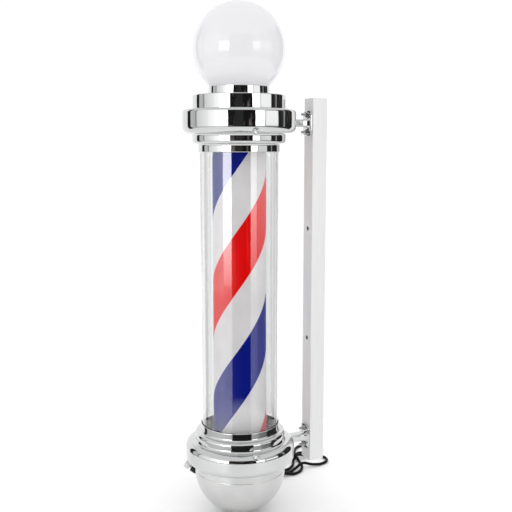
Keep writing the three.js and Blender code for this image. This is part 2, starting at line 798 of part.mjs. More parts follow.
function bracketNut() {
  const hex = polygon(6, NUT_FLATS / Math.sqrt(3));
  hex.holes.push(new THREE.Path().absarc(0, 0, BOLT_R + GAP, 0, Math.PI * 2, true));
  const front = -RAIL.depth - BRACKET_PLATE.thick - 2 * GAP;
  return extruded(hex, NUT_T).rotateX(Math.PI / 2).translate(0, front, 0);
}

function wallSide(group) {
  group.add(piece("wall_rail", "rail", wallRail()));
  group.add(piece("lower_bracket", "chrome", bracket().translate(0, 0, -BRACKET_Z)));
  group.add(piece("upper_bracket", "chrome", bracket().translate(0, 0, BRACKET_Z)));
  boltPlaces().forEach((z, i) => {
    group.add(piece("bracket_bolt_" + (i + 1), "steel", bracketBolt().translate(0, 0, z)));
    group.add(piece("bracket_nut_" + (i + 1), "steel", bracketNut().translate(0, 0, z)));
  });
}

// ---- Mains cord ----

// The loose stretch, from the gland down to the surface and through a bunch of loops there to the coil.
const LAID = FLOOR_Z + CORD_R + 0.05;
const OVER = LAID + 5.7; // where it passes over itself
const CORD_ROUTE = [
  [-71.3, -88.7, GLAND_Z],
  [-79.5, -80.5, GLAND_Z],
  [-91.5, -68.5, -318],
  [-98, -59, -338],
  [-98, -50, -362],
  [-94, -39, -381.5],
  [-87, -22, LAID + 2.6],
  [-84, -3, LAID],
  [-92, 14, LAID],
  [-110, 27, LAID],
  [-145, 37, LAID],
  [-182, 50, LAID],
  [-202, 68, LAID],
  [-206.5, 89, LAID],
  [-199, 105.5, LAID],
  [-183, 112, LAID],
  [-167, 105.5, LAID],
  [-159.5, 89, LAID],
  [-160, 65, LAID + 3],
  [-157, 44, OVER + 1],
  [-142, 26, LAID + 1],
  [-120, 11, LAID],
  [-107.5, -7, LAID],
  [-110, -28, LAID],
  [-128, -41, LAID],
  [-146.5, -35, LAID],
  [-154, -13, LAID],
  [-147.5, 17, OVER + 2],
  [-147, 41, OVER + 2],
  [-149, 67, LAID],
  [-142, 84, LAID],
  [-126, 91, LAID],
  [-110, 84, LAID],
  [-103, 67, LAID],
  [-104.5, 47, LAID + 2],
  [-109, 29, OVER + 0.5],
  [-103.5, 9, LAID + 1.5],
  [-94, -10, LAID],
  [-96, -36, LAID],
  [-92, -84, LAID],
].map((p) => v3(...p));

function mainsCord() {
  const section = polygon(8, CORD_R / Math.cos(Math.PI / 8));
  const path = new THREE.CatmullRomCurve3(CORD_ROUTE, false, "centripetal");
  return new THREE.ExtrudeGeometry(section, { extrudePath: path, steps: 64, bevelEnabled: false });
}

function cordCoil() {
  const { x, y, middle, thick, height } = COIL;
  const [inner, outer] = [middle - thick / 2, middle + thick / 2];
  const [low, high, edge] = [COIL_LOW, COIL_LOW + height, 3];
  return turned([
    [inner + edge, low],
    [outer - edge, low],
    [outer, low + edge],
    [outer, high - edge],
    [outer - edge, high],
    [inner + edge, high],
    [inner, high - edge],
    [inner, low + edge],
  ], 32).translate(x, y, 0);
}

// A strap round the coil's turns, with its underside on the floor.
function cordTie() {
  const { x, y, middle, thick, height } = COIL;
  const slack = 0.9;
  const high = COIL_LOW - FLOOR_Z + height + GAP;
  const half = (high + TIE_T) / 2;
  const band = box(thick + 2 * (TIE_T + slack), TIE_WIDTH, 2 * half);
  const bore = box(thick + 2 * slack, TIE_WIDTH + 10, high - TIE_T);
  return cut(band, bore)
    .translate(0, 0, half)
    .translate(middle, 0, FLOOR_Z)
    .rotateZ(rad(TIE_ANGLE))
    .translate(x, y, 0);
}

// A generic two-pin plug lying flat, with a tapered tail towards the coil.
function plug() {
  const { x, y, height, wide, end, pinGap } = PLUG;
  const [neck, shoulder, corner] = [14, 24, 2];
  const tail = turned([[0, 0], [3.4, 0], [5, 16], [0, 16]], 12).rotateY(Math.PI / 2);
  const outline = new THREE.Shape([
    v2(neck, -wide / 2),
    v2(shoulder, -wide),
    v2(end - corner, -wide),
    v2(end, -wide + corner),
    v2(end, wide - corner),
    v2(end - corner, wide),
    v2(shoulder, wide),
    v2(neck, wide / 2),
  ]);
  const body = extruded(outline, height).translate(0, 0, -height / 2);
  const pins = [-pinGap / 2, pinGap / 2].map((across) => box(18, 1.5, 6.3).translate(end + 8, across, 0));
  return join(body, tail, ...pins)
    .rotateZ(rad(PLUG_TURN))
    .translate(x, y, FLOOR_Z + height / 2);
}

function mains(group) {
  group.add(piece("mains_cord", "black", mainsCord()));
  group.add(piece("cord_coil", "black", cordCoil()));
  group.add(piece("cord_tie", "black", cordTie()));
  group.add(piece("plug", "black", plug()));
}

// ---- Assembly ----

const light = new THREE.Group();
light.name = "barber_pole_light";
const pole = new THREE.Group();
pole.position.y = POLE_Y;
light.add(pole);
castings(pole);
lampSide(pole);
drum(pole);
motor(pole);
domeSide(pole);
wallSide(light);
mains(light);

export default light;
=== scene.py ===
"""The looks of a wall-mounted barber pole light: chrome castings, an opal globe and a striped drum in a tube.

Lengths in outlines are in millimetres, in the CAD model's frame: +Z up, the wall at y = 0, the pole on -Y.
"""

import math

import bmesh
import bpy
from mathutils import Matrix, Vector


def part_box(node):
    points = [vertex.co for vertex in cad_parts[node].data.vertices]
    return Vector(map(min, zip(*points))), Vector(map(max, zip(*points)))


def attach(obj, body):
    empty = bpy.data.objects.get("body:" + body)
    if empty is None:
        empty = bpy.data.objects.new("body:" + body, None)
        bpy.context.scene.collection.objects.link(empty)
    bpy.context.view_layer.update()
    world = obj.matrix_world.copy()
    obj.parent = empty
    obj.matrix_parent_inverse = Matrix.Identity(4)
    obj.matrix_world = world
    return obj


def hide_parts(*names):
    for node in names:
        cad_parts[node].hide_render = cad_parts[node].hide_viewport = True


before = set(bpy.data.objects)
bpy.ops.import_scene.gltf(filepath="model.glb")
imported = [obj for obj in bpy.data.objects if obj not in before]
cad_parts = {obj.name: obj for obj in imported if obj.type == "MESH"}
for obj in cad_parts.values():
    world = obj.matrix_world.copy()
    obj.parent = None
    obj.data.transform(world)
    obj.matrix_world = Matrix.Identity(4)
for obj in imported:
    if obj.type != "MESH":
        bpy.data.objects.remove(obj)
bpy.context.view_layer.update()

MM = 0.001
FINE = 144  # sides of the large turned pieces
SMALL = 40  # sides of the small ones
SHELL_WALL = 2.5  # of the globe, the cap, the collar's floor, the clear tube and the dome


def size(node):
    """Lowest and highest corner of a CAD node, in millimetres."""
    low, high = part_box(node)
    return low / MM, high / MM


def radius(node):
    """Half the width of a CAD node, in millimetres."""
    low, high = size(node)
    return (high.x - low.x) / 2


POLE_Y = (size("drum_shell")[0].y + size("drum_shell")[1].y) / 2
POLE = Matrix.Translation((0, POLE_Y, 0))
FLOOR_Z = size("dome_cover")[0].z

# ---------------------------------------------------------------- camera

CAMERA_AWAY = 1323 * MM  # from the pole's axis
CAMERA_ROUND = -25  # degrees round the pole from +X
CAMERA_HEIGHT = 238.4 * MM
CAMERA_ASIDE = 1.204  # degrees it looks to the right of the pole
CAMERA_DOWN = 7.8
CAMERA_LENS = 55.55


def make_camera():
    towards = math.radians(CAMERA_ROUND)
    camera = bpy.data.objects.new("camera", bpy.data.cameras.new("camera"))
    bpy.context.scene.collection.objects.link(camera)
    x = CAMERA_AWAY * math.cos(towards)
    y = POLE_Y * MM + CAMERA_AWAY * math.sin(towards)
    camera.location = (x, y, CAMERA_HEIGHT)
    heading = towards + math.pi - math.radians(CAMERA_ASIDE)
    down = math.radians(CAMERA_DOWN)
    level = math.cos(down)
    look = Vector((level * math.cos(heading), level * math.sin(heading), -math.sin(down)))
    camera.rotation_mode = "QUATERNION"
    camera.rotation_quaternion = look.to_track_quat("-Z", "Y")
    camera.data.lens = CAMERA_LENS
    camera.data.sensor_width = 36
    camera.data.clip_start = 0.05
    bpy.context.scene.camera = camera


# ---------------------------------------------------------------- materials


def principled(name, **sockets):
    """A new material and its Principled shader, with these values on the shader's own sockets."""
    material = bpy.data.materials.new(name)
    material.use_nodes = True
    shader = material.node_tree.nodes["Principled BSDF"]
    for socket, value in sockets.items():
        if isinstance(value, tuple):
            value = (*value, 1)
        shader.inputs[socket.replace("_", " ")].default_value = value
    return material, shader


def node(tree, kind, **settings):
    made = tree.nodes.new(kind)
    for name, value in settings.items():
        setattr(made, name, value)
    return made


def noise(tree, scale, stretch=(1, 1, 1), detail=3):
    """Noise in the piece's own frame, with scale in features to the metre."""
    place = node(tree, "ShaderNodeTexCoord")
    mapping = node(tree, "ShaderNodeMapping")
    mapping.inputs["Scale"].default_value = stretch
    texture = node(tree, "ShaderNodeTexNoise")
    texture.inputs["Scale"].default_value = scale
    texture.inputs["Detail"].default_value = detail
    tree.links.new(place.outputs["Object"], mapping.inputs["Vector"])
    tree.links.new(mapping.outputs["Vector"], texture.inputs["Vector"])
    return texture.outputs["Fac"]


def between(tree, value, low, high, start=0.3, end=0.7):
    """The value from start to end, spread from low to high."""
    spread = node(tree, "ShaderNodeMapRange")
    for socket, number in zip(("From Min", "From Max", "To Min", "To Max"), (start, end, low, high)):
        spread.inputs[socket].default_value = number
    tree.links.new(value, spread.inputs["Value"])
    return spread.outputs["Result"]


def colours(tree, value, *stops, sharp=False):
    """A colour ramp along the value; each stop is (position, colour)."""
    ramp = node(tree, "ShaderNodeValToRGB")
    ramp.color_ramp.interpolation = "CONSTANT" if sharp else "LINEAR"
    elements = ramp.color_ramp.elements
    while len(elements) < len(stops):
        elements.new(0.5)
    for element, (position, _) in zip(elements, stops):
        element.position = position
    for element, (_, colour) in zip(elements, stops):
        element.color = (*colour, 1)
    tree.links.new(value, ramp.inputs["Fac"])
    return ramp.outputs["Color"]


def rough_and_bump(shader, value, low, high, height):
    """Roughness from low to high with the value, and a bump of that height in millimetres."""
    tree = shader.id_data
    tree.links.new(between(tree, value, low, high), shader.inputs["Roughness"])
    bump = node(tree, "ShaderNodeBump")
    bump.inputs["Distance"].default_value = height * MM
    tree.links.new(value, bump.inputs["Height"])
    tree.links.new(bump.outputs["Normal"], shader.inputs["Normal"])


def chrome_material():
    material, shader = principled("chrome", Metallic=1.0)
    tree = material.node_tree
    cloud = noise(tree, 14, detail=2)
    tint = colours(tree, cloud, (0.3, (0.63, 0.64, 0.64)), (0.7, (0.69, 0.695, 0.695)))
    tree.links.new(tint, shader.inputs["Base Color"])
    rough_and_bump(shader, noise(tree, 22, detail=2), 0.015, 0.055, 0.35)
    return material


def satin_chrome_material():
    """Chrome plate over a blasted shell, for the dome."""
    material, shader = principled("satin_chrome", Metallic=1.0)
    tree = material.node_tree
    tint = colours(tree, noise(tree, 30), (0.35, (0.63, 0.64, 0.635)), (0.65, (0.68, 0.685, 0.675)))
    tree.links.new(tint, shader.inputs["Base Color"])
    rough_and_bump(shader, noise(tree, 2600, detail=2), 0.20, 0.27, 0.01)
    return material


def opal_material():
    """White opal plastic: it glows a little through its wall and has a hard gloss."""
    material, shader = principled(
        "opal",
        Subsurface_Weight=0.35,
        Subsurface_Scale=0.012,
        IOR=1.49,
        Coat_Weight=0.25,
        Coat_Roughness=0.02,
        Emission_Color=(0.92, 0.92, 0.96),
        Emission_Strength=0.36,
    )
    shader.inputs["Subsurface Radius"].default_value = (1.0, 0.9, 0.85)
    tree = material.node_tree
    tint = colours(tree, noise(tree, 9), (0.3, (0.47, 0.47, 0.48)), (0.7, (0.50, 0.50, 0.51)))
    tree.links.new(tint, shader.inputs["Base Color"])
    rough_and_bump(shader, noise(tree, 35), 0.06, 0.12, 0.05)
    return material


def clear_material():
    """Extruded acrylic, with faint draw lines along the tube. It lets lamps through."""
    material, shader = principled(
        "clear_acrylic", Transmission_Weight=1.0, IOR=1.49, Coat_Weight=1.0, Coat_IOR=1.6, Coat_Roughness=0.01
    )
    tree = material.node_tree
    tint = colours(tree, noise(tree, 20), (0.3, (0.965, 0.972, 0.975)), (0.7, (0.98, 0.985, 0.987)))
    tree.links.new(tint, shader.inputs["Base Color"])
    rough_and_bump(shader, noise(tree, 60, stretch=(1, 1, 0.03)), 0.0, 0.025, 0.03)
    path = node(tree, "ShaderNodeLightPath")
    pane = node(tree, "ShaderNodeBsdfTransparent")
    pane.inputs["Color"].default_value = (1.0, 1.0, 1.0, 1)
    mix = node(tree, "ShaderNodeMixShader")
    tree.links.new(path.outputs["Is Shadow Ray"], mix.inputs["Fac"])
    tree.links.new(shader.outputs["BSDF"], mix.inputs[1])
    tree.links.new(pane.outputs["BSDF"], mix.inputs[2])
    tree.links.new(mix.outputs["Shader"], tree.nodes["Material Output"].inputs["Surface"])
    return material


STRIPE_LEAD = 400 * MM  # a stripe's rise in one turn
STRIPE_START = -91 * MM  # a white stripe's lower edge, on the side that faces the camera
RED = (0.93, 0.002, 0.002)
BLUE = (0.001, 0.010, 0.27)
WHITE = (0.87, 0.85, 0.855)


def stripe_material():
    """Four bands to a turn, printed on a film: white, red, white and blue."""
    material, shader = principled("stripe_film", IOR=1.45, Specular_IOR_Level=0.02)
    tree = material.node_tree
    place = node(tree, "ShaderNodeTexCoord")
    split = node(tree, "ShaderNodeSeparateXYZ")
    tree.links.new(place.outputs["Object"], split.inputs["Vector"])

    def maths(operation, first, second=None):
        made = node(tree, "ShaderNodeMath", operation=operation)
        for socket, value in zip(made.inputs, (first, second)):
            if isinstance(value, (int, float)):
                socket.default_value = value
            elif value is not None:
                tree.links.new(value, socket)
        return made.outputs["Value"]

    across = maths("SUBTRACT", split.outputs["Y"], POLE_Y * MM)
    turn = maths("DIVIDE", maths("ARCTAN2", across, split.outputs["X"]), 2 * math.pi)
    rise = maths("DIVIDE", split.outputs["Z"], STRIPE_LEAD)
    start = STRIPE_START / STRIPE_LEAD - CAMERA_ROUND / 360
    phase = maths("FRACT", maths("SUBTRACT", maths("SUBTRACT", rise, turn), start))
    bands = colours(tree, phase, (0, WHITE), (0.25, RED), (0.5, WHITE), (0.75, BLUE), sharp=True)
    wear = colours(tree, noise(tree, 40), (0.3, (0.93, 0.93, 0.93)), (0.7, (1, 1, 1)))
    mix = node(tree, "ShaderNodeMix", data_type="RGBA", blend_type="MULTIPLY")
    mix.inputs["Factor"].default_value = 1
    tree.links.new(bands, mix.inputs["A"])
    tree.links.new(wear, mix.inputs["B"])
    tree.links.new(mix.outputs["Result"], shader.inputs["Base Color"])
    rough_and_bump(shader, noise(tree, 25, stretch=(1, 1, 0.2)), 0.22, 0.34, 0.08)
    return material


def plain_material(name, dark, light, scale, roughness, bump, stretch=(1, 1, 1), **sockets):
    """A material whose colour, roughness and bump all vary with noise."""
    material, shader = principled(name, **sockets)
    tree = material.node_tree
    value = noise(tree, scale, stretch)
    tree.links.new(colours(tree, value, (0.3, dark), (0.7, light)), shader.inputs["Base Color"])
    rough_and_bump(shader, value, *roughness, bump)
    return material


def make_materials():
    brushed = (1, 1, 0.02)
    return {
        "chrome": chrome_material(),
        "satin": satin_chrome_material(),
        "opal": opal_material(),
        "clear": clear_material(),
        "stripes": stripe_material(),
        "rail": plain_material(
            "anodised", (0.80, 0.80, 0.805), (0.86, 0.86, 0.86), 900, (0.36, 0.46), 0.003, brushed,
            Metallic=0.12,
        ),
        "steel": plain_material(
            "zinc_steel", (0.42, 0.43, 0.44), (0.56, 0.57, 0.58), 120, (0.28, 0.42), 0.02, Metallic=1.0
        ),
        "bolt": plain_material(
            "bright_steel", (0.50, 0.50, 0.51), (0.66, 0.66, 0.67), 300, (0.16, 0.28), 0.01, Metallic=1.0
        ),
        "rubber": plain_material(
            "black_rubber", (0.002, 0.002, 0.0024), (0.005, 0.005, 0.0055), 400, (0.38, 0.52), 0.02,
            Specular_IOR_Level=0.15,
        ),
        "black": plain_material(
            "black_plastic", (0.004, 0.004, 0.0045), (0.009, 0.009, 0.0095), 500, (0.28, 0.40), 0.015,
            Specular_IOR_Level=0.3,
        ),
        "ribbed": plain_material(
            "frosted_plastic", (0.70, 0.705, 0.70), (0.78, 0.785, 0.78), 200, (0.16, 0.26), 0.02,
            Subsurface_Weight=0.4, Subsurface_Scale=0.004, Coat_Weight=0.5,
        ),
        "white": plain_material(
            "white_plastic", (0.76, 0.755, 0.73), (0.84, 0.835, 0.81), 250, (0.34, 0.46), 0.02
        ),
        "brass": plain_material(
            "brass", (0.58, 0.40, 0.14), (0.72, 0.52, 0.22), 160, (0.24, 0.38), 0.015, Metallic=1.0
        ),
        "copper": plain_material(
            "copper_winding", (0.42, 0.15, 0.06), (0.66, 0.29, 0.13), 900, (0.28, 0.45), 0.12, (1, 1, 6),
            Metallic=1.0,
        ),
        "magnet": plain_material(
            "ferrite", (0.020, 0.021, 0.024), (0.042, 0.043, 0.048), 700, (0.50, 0.68), 0.03, Metallic=0.3
        ),
    }


# ---------------------------------------------------------------- shapes: (vertices, faces) in millimetres


def outline(*corners, step=12):
    """A closed outline of (r, z) or (r, z, fillet) corners, with each fillet drawn as an arc."""
    points = []
    count = len(corners)
    for i, corner in enumerate(corners):
        here = Vector(corner[:2])
        fillet = corner[2] if len(corner) > 2 else 0
        if not fillet:
            points.append(here)
            continue
        before = (Vector(corners[i - 1][:2]) - here).normalized()
        after = (Vector(corners[(i + 1) % count][:2]) - here).normalized()
        half = before.angle(after) / 2
        centre = here + (before + after).normalized() * (fillet / math.sin(half))
        start = here + before * (fillet / math.tan(half)) - centre
        end = here + after * (fillet / math.tan(half)) - centre
        sweep = start.angle_signed(end)
        steps = max(2, math.ceil(math.degrees(abs(sweep)) / step))
        for k in range(steps + 1):
            turned_by = Matrix.Rotation(-sweep * k / steps, 2)
            points.append(centre + turned_by @ start)
    return points


def arc(r, z, size_of, start, end, steps):
    """Points of an arc about (r, z), from start to end degrees."""
    angles = [math.radians(start + (end - start) * k / steps) for k in range(steps + 1)]
    return [(r + size_of * math.cos(a), z + size_of * math.sin(a)) for a in angles]


def loft(loops, caps=True, closed=False):
    """A skin over loops of equal length, with its ends capped, or joined when it is closed."""
    n = len(loops[0])
    vertices = [Vector(p) for loop in loops for p in loop]
    pairs = len(loops) if closed else len(loops) - 1
    faces = []
    for i in range(pairs):
        a, b = i * n, (i + 1) % len(loops) * n
        faces += [(a + j, a + (j + 1) % n, b + (j + 1) % n, b + j) for j in range(n)]
    if caps and not closed:
        last = (len(loops) - 1) * n
        faces += [tuple(reversed(range(n))), tuple(range(last, last + n))]
    return vertices, faces


def turned(points, sides=FINE):
    """An (r, z) outline turned about Z. An open one starts and ends on the axis."""
    on_axis = abs(points[0][0]) < 1e-6 and abs(points[-1][0]) < 1e-6
    inner = points[1:-1] if on_axis else points
    loops = []
    for r, z in inner:
        angles = [2 * math.pi * k / sides for k in range(sides)]
        loops.append([(r * math.cos(a), r * math.sin(a), z) for a in angles])
    vertices, faces = loft(loops, caps=False, closed=not on_axis)
    if on_axis:
        first, last = len(vertices), len(vertices) + 1
        vertices += [Vector((0, 0, points[0][1])), Vector((0, 0, points[-1][1]))]
        base = (len(loops) - 1) * sides
        faces += [(first, (k + 1) % sides, k) for k in range(sides)]
        faces += [(base + k, base + (k + 1) % sides, last) for k in range(sides)]
    return vertices, faces


def rounded_rectangle(width, height, corner, steps=5):
    """Points of a rectangle with round corners, counter-clockwise."""
    points = []
    for quarter in range(4):
        x = (width / 2 - corner) * (1 if quarter in (0, 3) else -1)
        y = (height / 2 - corner) * (1 if quarter in (0, 1) else -1)
        points += arc(x, y, corner, 90 * quarter, 90 * quarter + 90, steps)
    return points


def slab(width, height, corner, low, high, edge, steps=3):
    """A rounded rectangle between two heights, with its long edges rounded too."""
    loops = []
    quarter = [math.radians(90 * k / steps) for k in range(steps + 1)]
    for a in quarter:
        inset = edge * (1 - math.sin(a))
        loops.append((inset, low + edge * (1 - math.cos(a))))
    for a in reversed(quarter):
        inset = edge * (1 - math.sin(a))
        loops.append((inset, high - edge * (1 - math.cos(a))))
    return loft([
        [(x, y, z) for x, y in rounded_rectangle(width - 2 * i, height - 2 * i, corner - i)]
        for i, z in loops
    ])


def threaded(r, low, high, pitch, sides=28):
    """A screwed rod: a ridge that climbs one pitch each turn and fades out at both ends."""
    depth, rows = 0.55 * pitch, 6
    levels = math.ceil((high - low) / pitch * rows)
    loops = []
    for i in range(levels + 1):
        z = low + (high - low) * i / levels
        near_end = min((z - low), (high - z)) / pitch
        loop = []
        for k in range(sides):
            share = ((z - low) / pitch - k / sides) % 1
            here = r - depth * abs(2 * share - 1)
            here = min(here, r - depth + depth * near_end)
            a = 2 * math.pi * k / sides
            loop.append((here * math.cos(a), here * math.sin(a), z))
        loops.append(loop)
    return loft(loops)


def hexagon(flats, low, high, bore=0.0, sides=72):
    """A hexagon with its corners turned off at both ends, bored or solid."""
    def reach(a):
        return flats / 2 / math.cos((a + math.pi / 6) % (math.pi / 3) - math.pi / 6)

    angles = [2 * math.pi * k / sides for k in range(sides)]
    inner = flats / 2 * 0.97
    slope = math.tan(math.radians(30))

    def level(radius_at, z_at):
        return [(radius_at(a) * math.cos(a), radius_at(a) * math.sin(a), z_at(a)) for a in angles]

    loops = [
        level(lambda a: inner, lambda a: low),
        level(reach, lambda a: low + (reach(a) - inner) * slope),
        level(reach, lambda a: high - (reach(a) - inner) * slope),
        level(lambda a: inner, lambda a: high),
    ]
    if not bore:
        return loft(loops)
    loops.append(level(lambda a: bore + 0.3, lambda a: high))
    loops.append(level(lambda a: bore, lambda a: high - 0.3))
    loops.append(level(lambda a: bore, lambda a: low + 0.3))
    loops.append(level(lambda a: bore + 0.3, lambda a: low))
    return loft(loops, closed=True)


def moved(shape, matrix):
    return [matrix @ v for v in shape[0]], shape[1]


def together(*shapes):
    vertices, faces = [], []
    for more, skin in shapes:
        faces += [tuple(i + len(vertices) for i in face) for face in skin]
        vertices += more
    return vertices, faces


def piece(name, shape, material, body="frame", stands_for=(), sharp=35):
    """A finished mesh object on a CAD body, with its edges sharp above that angle."""
    vertices, faces = shape
    mesh = bpy.data.meshes.new(name)
    mesh.from_pydata([v * MM for v in vertices], [], faces)
    mesh.validate()
    mesh.materials.append(material)
    made = bpy.data.objects.new(name, mesh)
    bpy.context.scene.collection.objects.link(made)
    turn_outwards(mesh)
    mesh.polygons.foreach_set("use_smooth", [True] * len(mesh.polygons))
    mesh.set_sharp_from_angle(angle=math.radians(sharp))
    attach(made, body)
    if stands_for:
        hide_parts(*stands_for)
    return made


def turn_outwards(mesh):
    work = bmesh.new()
    work.from_mesh(mesh)
    bmesh.ops.recalc_face_normals(work, faces=work.faces)
    work.to_mesh(mesh)
    work.free()


def aim(origin, direction):
    """The matrix that takes +Z to the direction and the origin to a point."""
    turn = Vector((0, 0, 1)).rotation_difference(Vector(direction)).to_matrix().to_4x4()
    return Matrix.Translation(origin) @ turn


def polar(r, degrees, z=0.0):
    a = math.radians(degrees)
    return Vector((r * math.cos(a), r * math.sin(a), z))


# ---------------------------------------------------------------- mains cord

CORD_R = 2.75
LAID = FLOOR_Z + CORD_R + 0.05  # height of the cord's middle where it lies on the floor
OVER = LAID + 5.7  # and where it lies on another stretch of itself
GLAND_Z = (size("cable_gland")[0].z + size("cable_gland")[1].z) / 2
CORD_ROUTE = [
    (-71.3, -88.7, GLAND_Z),
    (-79.5, -80.5, GLAND_Z),
    (-91.5, -68.5, -318),
    (-98, -59, -338),
    (-98, -50, -362),
    (-94, -39, -381.5),
    (-87, -22, LAID + 2.6),
    (-84, -3, LAID),
    (-92, 14, LAID),
    (-110, 27, LAID),
    (-145, 37, LAID),
    (-182, 50, LAID),
    (-202, 68, LAID),
    (-206.5, 89, LAID),
    (-199, 105.5, LAID),
    (-183, 112, LAID),
    (-167, 105.5, LAID),
    (-159.5, 89, LAID),
    (-160, 65, LAID + 3),
    (-157, 44, OVER + 1),
    (-142, 26, LAID + 1),
    (-120, 11, LAID),
    (-107.5, -7, LAID),
    (-110, -28, LAID),
    (-128, -41, LAID),
    (-146.5, -35, LAID),
    (-154, -13, LAID),
    (-147.5, 17, OVER + 2),
    (-147, 41, OVER + 2),
    (-149, 67, LAID),
    (-142, 84, LAID),
    (-126, 91, LAID),
    (-110, 84, LAID),
    (-103, 67, LAID),
    (-104.5, 47, LAID + 2),
    (-109, 29, OVER + 0.5),
    (-103.5, 9, LAID + 1.5),
    (-94, -10, LAID),
    (-96, -36, LAID),
    (-92, -84, LAID),
]
COIL_OUTER = 36.0  # radius of the cord's line in the coil's outermost turn
COIL_INNER = 24.6
COIL_TURN = 1555  # degrees wound, clockwise from +X
COIL_CLIMB = (740, 790)  # where it goes up to the second layer
PLUG_PLACE = (-165.7, -125)  # where the cord goes into it
PLUG_TURN = 155  # the way the plug points, in degrees from +X
PIN_GAP = 12.7  # between the middles of the plug's two blades


def smooth_route(points, step=3.0):
    """A centripetal Catmull-Rom curve through the points, sampled about every step millimetres."""
    knots = [Vector(p) for p in points]
    ends = [2 * knots[0] - knots[1], *knots, 2 * knots[-1] - knots[-2]]
    line = []
    for p0, p1, p2, p3 in zip(ends, ends[1:], ends[2:], ends[3:]):
        t1 = (p1 - p0).length ** 0.5
        t2 = t1 + (p2 - p1).length ** 0.5
        t3 = t2 + (p3 - p2).length ** 0.5
        steps = max(2, round((p2 - p1).length / step))
        for k in range(steps):
            t = t1 + (t2 - t1) * k / steps
            a1 = p0.lerp(p1, t / t1)
            a2 = p1.lerp(p2, (t - t1) / (t2 - t1))
            a3 = p2.lerp(p3, (t - t2) / (t3 - t2))
            b1 = a1.lerp(a2, t / t2)
            b2 = a2.lerp(a3, (t - t1) / (t3 - t1))
            line.append(b1.lerp(b2, (t - t1) / (t2 - t1)))
    return line + [knots[-1]]


def coil_centre():
    low, high = size("cord_coil")
    return (low + high) / 2


def coil_line():
    """The coil's turns: inwards on the floor, then outwards on top of those."""
    centre = coil_centre()
    low = size("cord_coil")[0].z + CORD_R + 0.05
    line = []
    for degrees in range(0, COIL_TURN + 1, 12):
        start, end = COIL_CLIMB
        if degrees < start:
            r = COIL_OUTER + (COIL_INNER - COIL_OUTER) * degrees / start
        elif degrees < end:
            r = COIL_INNER
        else:
            r = COIL_INNER + (COIL_OUTER - COIL_INNER) * (degrees - end) / (COIL_TURN - end)
        share = min(max((degrees - start) / (end - start), 0), 1)
        climb = 2 * CORD_R * share * share * (3 - 2 * share)
        line.append(polar(r, -degrees) + Vector((centre.x, centre.y, low + climb)))
    return line


def plug_frame():
    """The matrix of the plug's own frame: +X along its pins, from where the cord goes in."""
    place = Matrix.Translation((*PLUG_PLACE, FLOOR_Z + 8))
    return place @ Matrix.Rotation(math.radians(PLUG_TURN), 4, "Z")


def make_cord(materials):
    route = smooth_route(CORD_ROUTE)
    into_plug = plug_frame() @ Vector((6, 0, 0))
    line = route[:-1] + smooth_route([route[-1], *coil_line(), into_plug])
    data = bpy.data.curves.new("mains_flex", "CURVE")
    data.dimensions = "3D"
    data.bevel_depth = CORD_R * MM
    data.bevel_resolution = 5
    data.use_fill_caps = True
    spline = data.splines.new("POLY")
    spline.points.add(len(line) - 1)
    for point, place in zip(spline.points, line):
        point.co = (*(place * MM), 1)
    data.materials.append(materials["rubber"])
    flex = bpy.data.objects.new("mains_flex", data)
    bpy.context.scene.collection.objects.link(flex)
    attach(flex, "frame")
    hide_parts("mains_cord", "cord_coil")
    return flex, line[0]


def plug_shape():
    """A moulded two-pin plug lying flat: a body that widens to its face, a ribbed tail, and two blades."""
    stations = [
        (13.5, 10, 10, 4), (14.5, 12, 12, 5), (20, 17, 14.5, 5), (25, 22.5, 15.8, 4.5), (31, 23.9, 15.9, 4),
        (41, 23.9, 15.9, 4), (44.5, 23.3, 15.4, 3.6), (46, 21.4, 13.6, 2.8),
    ]
    body = loft([
        [(x, y, z) for y, z in rounded_rectangle(width, height, corner, 6)]
        for x, width, height, corner in stations
    ])
    tail_points = [(0, 0), (3.2, 0)]
    for k in range(5):
        x = 1.2 + 2.8 * k
        r = 3.4 + 0.32 * k
        tail_points += [(r, x), (r, x + 1.5), (r - 0.6, x + 1.8), (r - 0.6, x + 2.5)]
    tail_points += [(5, 15.6), (0, 15.6)]
    along_x = Matrix.Rotation(math.pi / 2, 4, "Y")
    tail = moved(turned(tail_points, SMALL), along_x)
    pins = []
    for side in (-PIN_GAP / 2, PIN_GAP / 2):
        blade = slab(6.3, 1.5, 0.4, 44, 63, 0.4)
        upright = Matrix.Translation((0, side, 0)) @ along_x
        pins.append(moved(blade, upright))
    return body, tail, pins


def make_plug(materials):
    body, tail, pins = plug_shape()
    place = plug_frame()
    plug = piece("mains_plug", moved(together(body, tail), place), materials["black"],
                 stands_for=["plug"])
    blades = piece("plug_pins", moved(together(*pins), place), materials["brass"])
    return plug, blades


def make_tie(materials):
    """A flat strap round the coil's turns."""
    low, high = size("cord_tie")
    centre = coil_centre()
    towards = ((low + high) / 2 - centre).xy
    turn = Matrix.Rotation(math.atan2(towards.y, towards.x), 4, "Z")
    height = high.z - low.z
    across, corner, thick, edge = 21.0, 4.6, 0.8, 0.25
    half = 7.0 / 2
    section = [(thick, 0.2 - half), (edge, -half), (0, edge - half)]
    section += [(inset, -y) for inset, y in reversed(section)]
    loops = []
    for inset, y in section:
        ring = rounded_rectangle(across - 2 * inset, height - 2 * inset, corner - inset, 6)
        loops.append([(x, y, z + height / 2) for x, z in ring])
    strap = loft(loops, closed=True)
    away = Matrix.Translation((towards.length, 0, 0))
    place = Matrix.Translation((centre.x, centre.y, low.z)) @ turn @ away
    return piece("coil_strap", moved(strap, place), materials["black"],
                 stands_for=["cord_tie"])


GLAND_ANGLE = 135  # round the pole, in degrees from +X


